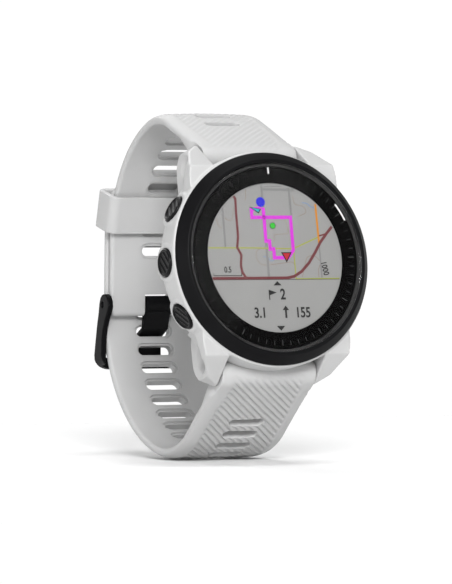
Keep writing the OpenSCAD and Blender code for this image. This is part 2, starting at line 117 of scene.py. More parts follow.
def surface(name, color, rough, grain=0.25, bump=0.01, patch=6.0, vary=0.04, stretch=(1, 1, 1),
            metallic=0.0, coat=0.0, specular=0.5, subsurface=0.0):
    """A moulded, brushed or painted surface: rough varies with the grain, colour with the patches.

    grain and patch are feature sizes in mm, and bump is the grain's height in mm."""
    mat, tree = new_material(name)
    out = tree.nodes.new("ShaderNodeOutputMaterial")
    shader = tree.nodes.new("ShaderNodeBsdfPrincipled")
    coords = tree.nodes.new("ShaderNodeTexCoord")
    fine = noise(tree, coords, grain, 3.0, stretch)
    broad = noise(tree, coords, patch)
    ramp = tree.nodes.new("ShaderNodeMix")
    ramp.data_type = "RGBA"
    ramp.inputs["A"].default_value = [c * (1 - vary) for c in color] + [1]
    ramp.inputs["B"].default_value = [min(1, c * (1 + vary)) for c in color] + [1]
    tree.links.new(map_range(tree, broad, 0, 1), ramp.inputs["Factor"])
    tree.links.new(ramp.outputs["Result"], shader.inputs["Base Color"])
    tree.links.new(map_range(tree, fine, rough * 0.85, min(1, rough * 1.15)),
                   shader.inputs["Roughness"])
    relief = tree.nodes.new("ShaderNodeBump")
    relief.inputs["Strength"].default_value = 1
    relief.inputs["Distance"].default_value = bump / 1000
    tree.links.new(fine, relief.inputs["Height"])
    tree.links.new(relief.outputs["Normal"], shader.inputs["Normal"])
    shader.inputs["Metallic"].default_value = metallic
    shader.inputs["Coat Weight"].default_value = coat
    shader.inputs["Coat Roughness"].default_value = COAT_ROUGH
    shader.inputs["Specular IOR Level"].default_value = specular
    shader.inputs["Subsurface Weight"].default_value = subsurface
    shader.inputs["Subsurface Radius"].default_value = SKIN_TINT
    shader.inputs["Subsurface Scale"].default_value = SKIN_DEPTH
    tree.links.new(shader.outputs["BSDF"], out.inputs["Surface"])
    return mat


def clear_glass(name):
    """Glass that lets the dial show, with a mirror layer that grows towards grazing angles."""
    mat, tree = new_material(name)
    out = tree.nodes.new("ShaderNodeOutputMaterial")
    clear = tree.nodes.new("ShaderNodeBsdfTransparent")
    gloss = tree.nodes.new("ShaderNodeBsdfGlossy")
    fresnel = tree.nodes.new("ShaderNodeFresnel")
    blend = tree.nodes.new("ShaderNodeMixShader")
    coords = tree.nodes.new("ShaderNodeTexCoord")
    gloss.inputs["Color"].default_value = (1, 1, 1, 1)
    fresnel.inputs["IOR"].default_value = GLASS_IOR
    clear.inputs["Color"].default_value = GLASS_TINT
    smear = map_range(tree, noise(tree, coords, 5.0), 0.01, 0.03)
    tree.links.new(smear, gloss.inputs["Roughness"])
    tree.links.new(fresnel.outputs["Fac"], blend.inputs["Fac"])
    tree.links.new(clear.outputs["BSDF"], blend.inputs[1])
    tree.links.new(gloss.outputs["BSDF"], blend.inputs[2])
    tree.links.new(blend.outputs["Shader"], out.inputs["Surface"])
    return mat


WHITE_SHELL = surface("white_shell", (0.42, 0.42, 0.42), 0.4, grain=0.12, bump=0.004, vary=0.012)
WHITE_RUBBER = surface("white_rubber", (0.41, 0.41, 0.41), 0.55, grain=0.15, bump=0.006,
                       vary=0.015, subsurface=0.08)
BLACK_RING = surface("black_ring", (0.005, 0.005, 0.0055), 0.4, grain=0.1, bump=0.003, vary=0.1,
                     specular=0.05)
BLACK_CAP = surface("black_cap", (0.005, 0.005, 0.0055), 0.3, grain=0.1, bump=0.004, vary=0.15,
                    specular=0.12)
BLACK_METAL = surface("black_metal", (0.004, 0.004, 0.0045), 0.34, grain=0.2, bump=0.003,
                      vary=0.15, specular=0.06)
MARK_GREY = surface("mark_grey", (0.016, 0.016, 0.017), 0.5, grain=0.2, bump=0.003, vary=0.1)
MARK_WHITE = surface("mark_white", (0.75, 0.75, 0.75), 0.45, grain=0.2, bump=0.002, vary=0.03)
MASK_BLACK = surface("mask_black", (0.0008, 0.0008, 0.0008), 0.5, grain=0.3, bump=0.001, vary=0.1,
                     specular=0.03)
COVER_GLASS = clear_glass("cover_glass_clear")
STEEL = surface("turned_steel", (0.56, 0.56, 0.58), 0.28, grain=0.12, bump=0.004, vary=0.05,
                stretch=(1, 6, 6), metallic=1.0)
GOLD = surface("gold_plate", (0.8, 0.58, 0.25), 0.25, grain=0.15, bump=0.002, metallic=1.0)
GREY_PLASTIC = surface("grey_plastic", (0.045, 0.045, 0.05), 0.5, grain=0.15, bump=0.008,
                       vary=0.08)
INNER_PLASTIC = surface("inner_plastic", (0.06, 0.06, 0.065), 0.6, grain=0.3, bump=0.01)
SENSOR_GLASS = surface("sensor_glass", (0.004, 0.004, 0.005), 0.06, grain=2.0, bump=0.0005,
                       coat=0.5)
LED_GREEN = surface("led_green", (0.12, 0.5, 0.2), 0.2, grain=0.3, bump=0.002)
BOARD_GREEN = surface("board_green", (0.015, 0.09, 0.045), 0.35, grain=0.8, bump=0.01, vary=0.2)
FLEX_FILM = surface("flex_film", (0.5, 0.2, 0.04), 0.3, grain=0.6, bump=0.004, vary=0.1)
CHIP_BLACK = surface("chip_black", (0.02, 0.02, 0.022), 0.45, grain=0.1, bump=0.004)
FOIL = surface("battery_foil", (0.7, 0.7, 0.72), 0.35, grain=0.9, bump=0.02, metallic=1.0)
SEAL_BLACK = surface("seal_black", (0.02, 0.02, 0.02), 0.7, grain=0.1, bump=0.004)
FILM_WHITE = surface("film_white", (0.75, 0.75, 0.75), 0.6, grain=0.2, bump=0.005)
SCREEN_GREY = surface("screen_grey", (0.27, 0.27, 0.265), 0.45, grain=0.12, bump=0.001, vary=0.01)


INK_COLORS = {
    "street": (0.2, 0.2, 0.2), "highway": (0.13, 0.025, 0.03), "orange": (0.52, 0.2, 0.01),
    "olive": (0.3, 0.33, 0.05), "contour": (0.24, 0.19, 0.16), "water": (0.12, 0.22, 0.4),
    "route": (0.55, 0.03, 0.55), "dark": (0.006, 0.006, 0.006), "blue": (0.01, 0.01, 0.5),
    "green": (0.03, 0.45, 0.03), "teal": (0.02, 0.33, 0.36), "red": (0.42, 0.01, 0.02),
}
INK = {name: surface("ink_" + name, color, 0.5, grain=0.12, bump=0.0005, vary=0.03)
       for name, color in INK_COLORS.items()}


# ---------------------------------------------------------------- mesh helpers
def piece(name, verts, faces, mats, body="head", place=HEAD, face_mats=None, flat=30):
    """A mesh object from points in the head's frame, riding on a CAD body."""
    mesh = bpy.data.meshes.new(name)
    mesh.from_pydata([tuple(v) for v in verts], [], [tuple(f) for f in faces])
    mesh.transform(place)
    for mat in mats:
        mesh.materials.append(mat)
    if face_mats:
        mesh.polygons.foreach_set("material_index", face_mats)
    return add(name, mesh, body, flat)


def add(name, mesh, body, flat=30):
    """Link a mesh, point its faces outwards, smooth it below the flat angle, and let it ride."""
    bm = bmesh.new()
    bm.from_mesh(mesh)
    bmesh.ops.remove_doubles(bm, verts=bm.verts, dist=2e-7)
    bmesh.ops.dissolve_degenerate(bm, edges=bm.edges, dist=1e-7)
    bmesh.ops.recalc_face_normals(bm, faces=bm.faces)
    limit = math.radians(flat)
    for face in bm.faces:
        face.smooth = True
    for edge in bm.edges:
        edge.smooth = len(edge.link_faces) == 2 and edge.calc_face_angle(0) < limit
    bm.to_mesh(mesh)
    bm.free()
    obj = link(name, mesh)
    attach(obj, body)
    return obj


def ring_points(height, radius, count):
    """Points round a circle about the x axis, at that height along it."""
    return [(height, radius * math.cos(2 * math.pi * k / count),
             radius * math.sin(2 * math.pi * k / count)) for k in range(count)]


def lathe(profile, segments=256):
    """Points and faces of a closed profile [radius, depth] turned about the dial's axis."""
    verts, faces = [], []
    n = len(profile)
    for k in range(segments):
        a = 2 * math.pi * k / segments
        verts += [(r * math.cos(a), y, r * math.sin(a)) for r, y in profile]
    for k in range(segments):
        m = (k + 1) % segments
        for i in range(n):
            j = (i + 1) % n
            faces.append((k * n + i, m * n + i, m * n + j, k * n + j))
    return verts, faces


def rounded(profile, radius, steps=4):
    """A closed profile with each corner cut back by up to radius and rounded."""
    out = []
    n = len(profile)
    for i in range(n):
        a, b, c = (Vector(profile[(i + k) % n]) for k in (-1, 0, 1))
        r1 = min(radius, (a - b).length * 0.45)
        r2 = min(radius, (c - b).length * 0.45)
        p, q = b + (a - b).normalized() * r1, b + (c - b).normalized() * r2
        for k in range(steps + 1):
            t = k / steps
            out.append(p * (1 - t) ** 2 + b * 2 * t * (1 - t) + q * t * t)
    return [(v.x, v.y) for v in out]


def soften(name, node, body, mat, voxel, passes, keep):
    """A copy of a CAD node with its edges worn round, as a mould leaves them.

    voxel is in mm, and keep is the share of the faces that stay."""
    obj = link(name, NODES[node].data.copy())
    remesh = obj.modifiers.new("remesh", "REMESH")
    remesh.mode = "VOXEL"
    remesh.voxel_size = voxel / 1000
    smooth = obj.modifiers.new("smooth", "SMOOTH")
    smooth.factor = 0.5
    smooth.iterations = passes
    thin = obj.modifiers.new("thin", "DECIMATE")
    thin.ratio = keep
    bpy.context.view_layer.update()
    solid = obj.evaluated_get(bpy.context.evaluated_depsgraph_get())
    mesh = bpy.data.meshes.new_from_object(solid)
    bpy.data.objects.remove(obj)
    mesh.materials.clear()
    mesh.materials.append(mat)
    mesh.shade_smooth()
    out = link(name, mesh)
    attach(out, body)
    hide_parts(node)
    return out


def set_material(node, mat):
    NODES[node].data.materials.clear()
    NODES[node].data.materials.append(mat)


# ---------------------------------------------------------------- strap tracks
def advance(p, h, length, turn):
    """The point length further on, along an arc that turns by turn degrees from heading h."""
    a = math.radians(h)
    if turn == 0:
        return (p[0] + length * math.cos(a), p[1] + length * math.sin(a))
    r = length / math.radians(turn)
    b = math.radians(h + turn)
    return (p[0] + r * (math.sin(b) - math.sin(a)), p[1] - r * (math.cos(b) - math.cos(a)))


def along(start, heading, arcs, s):
    """(y, z, heading) at distance s along a track of arcs [length, turn]."""
    p, h = start, heading
    for i, (length, turn) in enumerate(arcs):
        if s <= length or i == len(arcs) - 1:
            turned = turn * s / length
            y, z = advance(p, h, s, turned)
            return (y, z, h + turned)
        p, h, s = advance(p, h, length, turn), h + turn, s - length


def beside(at, n):
    a = math.radians(at[2])
    return (at[0] - n * math.sin(a), at[1] + n * math.cos(a))


SHORT_START, SHORT_HEADING = (9.5, 23.6), 33.6
SHORT_ARCS = [(15.2, -2.8), (8.5, -41.3), (31.8, -67.7), (15.4, 0)]
SHORT_LEN = sum(a[0] for a in SHORT_ARCS)
PIN_S = SHORT_LEN - 2.4
WRAP_END = along(SHORT_START, SHORT_HEADING, SHORT_ARCS, 55.5)
WRAP_R = 31.8 / math.radians(67.7)
WRAP_C = beside(WRAP_END, -WRAP_R)

LAYER, TIP_ANGLE, LEAVE_ANGLE = 2.45, 42, 11.8
LONG_R = WRAP_R + LAYER
TIP = math.radians(TIP_ANGLE)
LONG_START = (WRAP_C[0] + LONG_R * math.cos(TIP), WRAP_C[1] + LONG_R * math.sin(TIP))
LONG_HEADING = TIP_ANGLE - 90
LONG_ARCS = [
    (LONG_R * math.radians(TIP_ANGLE - LEAVE_ANGLE), LEAVE_ANGLE - TIP_ANGLE),
    (17.2, 0), (4, -17.9), (32, -58.7), (17.3, -56.7), (16.4, 3.8),
]

# Sizes shared by both straps
HALF_W, KNUCKLE_W = 11.08, 10.55
KNUCKLE_R, BAR_Y, BAR_Z = 3.0, 10.4, 22.0
SLOT_W, SLOT_R, STEP_W, STEP_N = 3.85, 1.05, 0.5, -0.6
RIB_PITCH, RIB_SLOPE, RIB_DEPTH, RIB_HALF = 1.54, 0.93, 0.4, 8.2
SHORT_RIB_DEPTH = 0.13
WRAP_BACK = 7.0             # how far the strap's end curls round its spring bar
LONG_TAPER, SHORT_TAPER = (6.2, 7.2), (0.7, 1.4)    # (narrowing each side, over this length)
WEDGE, WEDGE_LEN = 2.6, 8   # extra thickness at the lugs, and how far it reaches
END_ROUND, SLOT_ROUND, INNER_ROUND = 1.3, 0.3, 0.7  # widths of the rounded edges
SHOULDER = 3.0              # width of the slope along each side of the outer face
SLOT_SINK, EDGE_LIFT = 0.26, 0.6    # how far the rounded edges of slots and inner face fall
NEAR_SLOT = 3               # slots further off than this along the strap are left out


def slot_gap(x, d, middle):
    """Distance from a point of the flattened strap to the edge of the slot at middle."""
    u = max(abs(x) - (SLOT_W - SLOT_R), 0)
    return math.hypot(u, d - middle) - SLOT_R


def stadium(middle, grow, count=44):
    """Points round a slot of the flattened strap, grown by grow."""
    r, w = SLOT_R + grow, SLOT_W - SLOT_R
    straight = 7
    out = []
    for side in (1, -1):
        for k in range((count - 2 * straight) // 2 + 1):
            a = math.pi * k / ((count - 2 * straight) // 2) - math.pi / 2
            out.append((side * (w + r * math.cos(a)), middle + side * r * math.sin(a)))
        for k in range(1, straight):
            out.append((side * w * (1 - 2 * k / straight), middle + side * r))
    return out


class Strap:
    """One strap: a flattened sheet of (x, distance from the lugs), bent round its track."""

    def __init__(self, name, start, heading, arcs, from_tip, side, slots, ribs, notch=None):
        self.name, self.side, self.slots, self.ribs, self.notch = name, side, slots, ribs, notch
        self.rib_depth = RIB_DEPTH if from_tip else SHORT_RIB_DEPTH
        self.start, self.heading, self.arcs, self.from_tip = start, heading, arcs, from_tip
        self.length = sum(a[0] for a in arcs)
        self.centre = (BAR_Y, side * BAR_Z)
        at = self.at(0)
        self.out0 = self.polar(beside(at, self.outer_n(0, 0)))
        self.in0 = self.polar(beside(at, -self.t_in(0)))
        self.end_angle = self.out0[1] + side * math.degrees(WRAP_BACK / self.out0[0])
        if side > 0 and self.in0[1] < self.end_angle - 180:
            self.in0 = (self.in0[0], self.in0[1] + 360)
        if side < 0 and self.in0[1] > self.end_angle + 180:
            self.in0 = (self.in0[0], self.in0[1] - 360)

    def polar(self, p):
        dy, dz = p[0] - self.centre[0], p[1] - self.centre[1]
        return (math.hypot(dy, dz), math.degrees(math.atan2(dz, dy)))

    def at(self, d):
        s = self.length - d if self.from_tip else d
        return along(self.start, self.heading, self.arcs, s)

    def half_w(self, d):
        """Half the strap's width."""
        narrowing, reach = LONG_TAPER if self.from_tip else SHORT_TAPER
        full = mix(KNUCKLE_W, HALF_W, (d - 2.4) / 1.6)
        return full - narrowing * max(0, 1 - (self.length - d) / reach) ** 2

    def t_in(self, d):
        """Depth of the inner face below the track, without its relief."""
        b = self.length - d
        return mix(0.95, 1.1, (b - 18) / 20) + WEDGE * max(0, 1 - d / WEDGE_LEN) ** 1.2

    def slot_near(self, x, d):
        """Distance to the edge of the nearest slot."""
        return min((slot_gap(x, d, m) for m in self.slots if abs(m - d) < NEAR_SLOT), default=9)

    def end_rounded(self, n, d):
        """The height n, brought towards the track where the strap ends."""
        b = self.length - d
        return n - (n + 0.1) * round_off(b / END_ROUND) * 0.8 if b < END_ROUND else n

    def outer_n(self, x, d):
        """Height of the outer face beside the track."""
        b = self.length - d
        w = self.half_w(d)
        thick = mix(0.8, 1.0, (b - 18) / 20)
        crown = mix(1.05, 1.18, (b - 18) / 26)
        e = w - abs(x)
        fall = 1 - (1 - (1 - min(1, max(0, e) / SHOULDER)) ** 2) ** 0.6
        drop = thick * 1.05 * mix(0.3, 1, (d - 1.5) / 3)
        u = min(1, abs(x) / (w - SHOULDER))
        n = thick - drop * fall + (crown - thick) * (1 - u ** 1.8) * mix(0.45, 1, d / 6)
        n = self.end_rounded(n, d)
        gap = self.slot_near(x, d)
        if gap < SLOT_ROUND:
            n -= SLOT_SINK * round_off(max(gap, 0) / SLOT_ROUND)
        return n - self.groove(x, d, gap)

    def groove(self, x, d, gap):
        """Depth of the fine slanted ribs' grooves."""
        first, last = self.ribs
        if not first < d < last:
            return 0
        half = RIB_HALF + 0.4 * mix(-1, 1, d / 12)
        fade = min(1, (half - abs(x)) / 0.35, (d - first) / 2.5, (last - d) / 2.0, gap / 0.25)
        if fade <= 0:
            return 0
        phase = (d - RIB_SLOPE * x) / RIB_PITCH
        return self.rib_depth * fade * (0.5 + 0.5 * math.cos(2 * math.pi * phase)) ** 1.8

    def inner_n(self, x, d):
        """Height of the inner face beside the track, with a step round each slot."""
        e = self.half_w(d) - abs(x)
        lift = EDGE_LIFT * round_off(min(1, max(0, e) / INNER_ROUND))
        n = self.end_rounded(-self.t_in(d) + lift, d)
        gap = self.slot_near(x, d)
        if gap < STEP_W:
            n = mix(max(n, STEP_N), n, (gap - STEP_W + 0.1) / 0.1)
        elif gap < STEP_W + 0.15:
            n += 0.08 * (1 - (gap - STEP_W) / 0.15)
        return n

    def bend(self, x, d, outer):
        """A point of the sheet, bent into place."""
        if d >= 0:
            n = self.outer_n(x, d) if outer else self.inner_n(x, d)
            y, z = beside(self.at(d), n)
            return (x, y, z)
        t = min(1, -d / WRAP_BACK)
        radius, angle = self.out0 if outer else self.in0
        swing = angle + (self.end_angle - angle) * t
        edge = (self.outer_n(x, d) - self.outer_n(0, 0)) if outer else 0
        r = mix(radius, KNUCKLE_R, t * 1.5) + edge
        a = math.radians(swing)
        return (x, self.centre[0] + r * math.cos(a), self.centre[1] + r * math.sin(a))

    # The flattened sheet: its outline, and the points that carry its relief
    def outline(self):
        step = 0.5
        ds = [-WRAP_BACK + step * k for k in range(int((self.length + WRAP_BACK) / step))]
        ds = [d for d in ds if d < self.length - 0.25] + [self.length]
        for extra in (0.15, 0.5, 1.0, 1.8, 2.8):
            ds.append(self.length - extra)
        ds = sorted(set(round(d, 3) for d in ds))
        right = [(self.half_w(d), d) for d in ds]
        end_w = right[-1][0]
        if self.notch:
            w, top = self.notch
            far = [(x, self.length) for x in frange(end_w - 0.6, w, 0.6)]
            cut = [(w, d) for d in frange(self.length, top, 0.5)]
            roof = [(x, top) for x in frange(w, -w, 0.6)]
            back = [(-w, d) for d in frange(top, self.length, 0.5)]
            near = [(x, self.length) for x in frange(-w, -end_w + 0.6, 0.6)]
            tip = far + cut[:-1] + roof[:-1] + back[:-1] + near
        else:
            tip = [(x, self.length) for x in frange(end_w - 0.6, -end_w + 0.6, 0.6)]
        left = [(-x, d) for x, d in reversed(right)]
        start = [(x, -WRAP_BACK) for x in frange(-right[0][0] + 0.7, right[0][0] - 0.7, 0.7)]
        return right + tip + left + start

    def inside(self, x, d, margin=0.0):
        """Whether a point of the sheet is rubber, at least margin away from every edge."""
        if not -WRAP_BACK <= d <= self.length or abs(x) > self.half_w(d) - margin:
            return False
        if self.notch and abs(x) < self.notch[0] + margin and d > self.notch[1] - margin:
            return False
        return all(slot_gap(x, d, m) > margin for m in self.slots if abs(m - d) < NEAR_SLOT)

    def grid(self, outer):
        """Points inside the outline: rows beside the edges, ribs where they run, else plain."""
        points = []
        for e in (0.06, 0.16, 0.32, 0.55, 0.85, 1.25, 1.75, 2.3):
            for d in frange(-WRAP_BACK + 0.3, self.length - 0.1, 0.55):
                x = self.half_w(d) - e
                points += [(x, d), (-x, d)]
        first, last = self.ribs
        if outer:
            steps = 6
            x = -RIB_HALF - 0.35
            while x <= RIB_HALF + 0.36:
                k = math.ceil((first - RIB_SLOPE * x) / RIB_PITCH * steps)
                while True:
                    d = k * RIB_PITCH / steps + RIB_SLOPE * x
                    k += 1
                    if d > last:
                        break
                    points.append((x, d))
                x += 0.45
        for d in frange(-WRAP_BACK + 0.4, self.length - 0.3, 0.7):
            if outer and first < d < last:
                continue
            points += [(x, d) for x in frange(-8.4, 8.4, 0.7)]
        for b in (0.1, 0.3, 0.6, 1.0, 1.4):
            points += [(x, self.length - b) for x in frange(-10, 10, 0.6)]
        return points

    def sheet(self, outer):
        """(points of the flattened sheet, triangles, index of each outline and slot point)"""
        loops = [self.outline()] + [stadium(m, 0) for m in self.slots]
        rings = []
        for m in self.slots:
            for grow in ((0.08, 0.18, 0.3) if outer else (0.2, STEP_W - 0.1, STEP_W, 0.65)):
                rings.append(stadium(m, grow))
        points, edges, spans = [], [], []
        for loop in loops + rings:
            base = len(points)
            points += loop
            count = len(loop)
            edges += [(base + i, base + (i + 1) % count) for i in range(count)]
            spans.append(range(base, base + count))
        reach = 0.34 if outer else 0.7
        clear = [p for p in self.grid(outer) if self.inside(p[0], p[1], 0.03)
                 and all(slot_gap(p[0], p[1], m) > reach for m in self.slots)]
        points += clear
        cdt = geometry.delaunay_2d_cdt([Vector(p) for p in points], edges, [], 0, 1e-5)
        verts, tris, origin = cdt[0], cdt[2], cdt[3]
        index = {}
        for i, sources in enumerate(origin):
            for s in sources:
                index[s] = i
        kept = []
        for t in tris:
            cx = sum(verts[i].x for i in t) / 3
            cd = sum(verts[i].y for i in t) / 3
            if self.inside(cx, cd):
                kept.append(t)
        rims = [[index[i] for i in span] for span in spans[:len(loops)]]
        return [(v.x, v.y) for v in verts], kept, rims

    def build(self, mat, node):
        """Bend both sheets into place, join them at their rims and replace the CAD node."""
        verts, faces, all_rims = [], [], []
        for outer in (True, False):
            flat, tris, rims = self.sheet(outer)
            base = len(verts)
            verts += [self.bend(x, d, outer) for x, d in flat]
            faces += [[base + i for i in t] for t in tris]
            all_rims.append([[base + i for i in rim] for rim in rims])
        for out_rim, in_rim in zip(*all_rims):
            n = len(out_rim)
            for i in range(n):
                j = (i + 1) % n
                faces.append((out_rim[i], out_rim[j], in_rim[j], in_rim[i]))
        obj = piece(self.name, verts, faces, [mat], flat=42)
        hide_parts(node)
        return obj


FRONT_PITCH, BACK_PITCH, FRONT_SLOTS = 3.83, 4.16, 6
LONG_SLOTS = [11.7 + FRONT_PITCH * min(i, FRONT_SLOTS) + BACK_PITCH * max(0, i - FRONT_SLOTS)
              for i in range(20)]
SHORT_SLOTS = [11.4 + 4.6 * i for i in range(11)]
NOTCH_W = 3.2
short_strap = Strap("short_strap", SHORT_START, SHORT_HEADING, SHORT_ARCS, False, 1,
                    SHORT_SLOTS, (-3.0, 30.0), notch=(NOTCH_W, PIN_S - 2.05))
long_strap = Strap("long_strap", LONG_START, LONG_HEADING, LONG_ARCS, True, -1,
                   LONG_SLOTS, (-3.0, 30.0))
short_strap.build(WHITE_RUBBER, "strap_short")
long_strap.build(WHITE_RUBBER, "strap_long")

# ---------------------------------------------------------------- shell, ring, glass, dial
soften("case_shell", "case", "head", WHITE_SHELL, 0.2, 4, 0.3)

RING = rounded([(19.22, 0.1), (19.45, 0.0), (19.9, 0.1), (21.45, 1.85), (21.6, 2.1), (21.6, 2.5),
                (18.5, 2.5), (18.5, 0.95), (19.22, 0.95)], 0.15)
verts, faces = lathe(RING)
ring = piece("bezel", verts, faces, [BLACK_RING], flat=50)
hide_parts("bezel_ring")
GLASS = rounded([(0.02, 0.0), (19.0, 0.0), (19.19, 0.16), (19.19, 0.8), (0.02, 0.8)], 0.06)
verts, faces = lathe(GLASS)
glass = piece("crystal", verts, faces, [COVER_GLASS], flat=5)
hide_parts("cover_glass")


def outline_of(points, width):
    """The outline of a line of that width through points, with mitred bends."""
    pts = [Vector(p) for p in points]
    left, right = [], []
    for i, p in enumerate(pts):
        before = (p - pts[i - 1]).normalized() if i > 0 else None
        after = (pts[i + 1] - p).normalized() if i < len(pts) - 1 else None
        a, b = before or after, after or before
        mid = (a + b).normalized()
        normal = Vector((-mid.y, mid.x))
        reach = width / 2 / max(0.5, math.sqrt((1 + a.dot(b)) / 2))
        left.append(p + normal * reach)
        right.append(p - normal * reach)
    return [tuple(p) for p in left + right[::-1]]


def disc_outline(x, z, r, count=32):
    return [(x + r * math.cos(2 * math.pi * k / count), z + r * math.sin(2 * math.pi * k / count))
            for k in range(count)]


def strip_faces(points, width):
    """A line's outline as quads, so that it stays flat where it bends."""
    flat = outline_of(points, width)
    n = len(points)
    return flat, [(i, i + 1, 2 * n - 2 - i, 2 * n - 1 - i) for i in range(n - 1)]


class Print:
    """Thin printed shapes laid on a surface, gathered into one mesh."""

    def __init__(self, place):
        self.place, self.verts, self.faces, self.mats, self.index = place, [], [], [], []

    def lay(self, flat, faces, mat, low, high):
        """Add a flat shape as a plate between two heights."""
        if mat not in self.mats:
            self.mats.append(mat)
        m, base, n = self.mats.index(mat), len(self.verts), len(flat)
        self.verts += [self.place(x, z, high) for x, z in flat]
        self.verts += [self.place(x, z, low) for x, z in flat]
        border = {}
        for f in faces:
            for a, b in zip(f, f[1:] + f[:1]):
                border[(a, b)] = (b, a) not in border
                if not border[(a, b)]:
                    border[(b, a)] = False
        sides = [(base + a, base + b, base + n + b, base + n + a)
                 for (a, b), open_edge in border.items() if open_edge]
        tops = [tuple(base + i for i in f) for f in faces]
        bottoms = [tuple(base + n + i for i in reversed(f)) for f in faces]
        self.faces += tops + bottoms + sides
        self.index += [m] * (len(tops) + len(bottoms) + len(sides))

    def shape(self, flat, mat, low, high):
        self.lay(flat, [tuple(range(len(flat)))], mat, low, high)

    def line(self, points, width, mat, low, high):
        flat, faces = strip_faces(points, width)
        self.lay(flat, faces, mat, low, high)

    def build(self, name, body="head"):
        return piece(name, self.verts, self.faces, self.mats, body, face_mats=self.index, flat=20)


def curve_points(points, steps=6):
    """A smooth line through points."""
    pts = [Vector(p) for p in points]
    pts = [2 * pts[0] - pts[1]] + pts + [2 * pts[-1] - pts[-2]]
    out = []
    for i in range(1, len(pts) - 2):
        p0, p1, p2, p3 = pts[i - 1:i + 3]
        for k in range(steps):
            t = k / steps
            out.append(0.5 * (2 * p1 + (p2 - p0) * t + (2 * p0 - 5 * p1 + 4 * p2 - p3) * t ** 2
                              + (3 * p1 - p0 - 3 * p2 + p3) * t ** 3))
    return [tuple(p) for p in out + [pts[-2]]]


DIGIT_WIDTH = 0.8           # the numbers are narrowed to this share of their width


def digits(text, size, middle, turn, bold):
    """(flat points, faces) of a number, centred on middle."""
    curve = bpy.data.curves.new("digits", "FONT")
    curve.body, curve.size, curve.offset = text, size, bold
    curve.align_x, curve.align_y = "CENTER", "CENTER"
    obj = link("digits", curve)
    bpy.context.view_layer.update()
    solid = obj.evaluated_get(bpy.context.evaluated_depsgraph_get())
    mesh = bpy.data.meshes.new_from_object(solid)
    bpy.data.objects.remove(obj)
    c, s = math.cos(math.radians(turn)), math.sin(math.radians(turn))
    flat = [(middle[0] + c * v.co.x * DIGIT_WIDTH - s * v.co.y,
             middle[1] + s * v.co.x * DIGIT_WIDTH + c * v.co.y) for v in mesh.vertices]
    return flat, [tuple(p.vertices) for p in mesh.polygons]


# The map page, drawn on the display: x to the right and z up from the dial's middle, in mm
SCREEN_R, SCREEN_Y = 15.12, 1.098
LAYER_T, LINE_STEP, SHAPE_STEP = 0.008, 0.0015, 0.002   # heights of the printed layers


def on_dial(x, z, height):
    return (x, SCREEN_Y - height, z)


def inside_screen(points):
    """The points, with those outside the screen pulled in to its edge."""
    out = []
    for x, z in points:
        r = math.hypot(x, z)
        k = min(1, (SCREEN_R - 0.2) / r) if r else 1
        out.append((x * k, z * k))
    return out


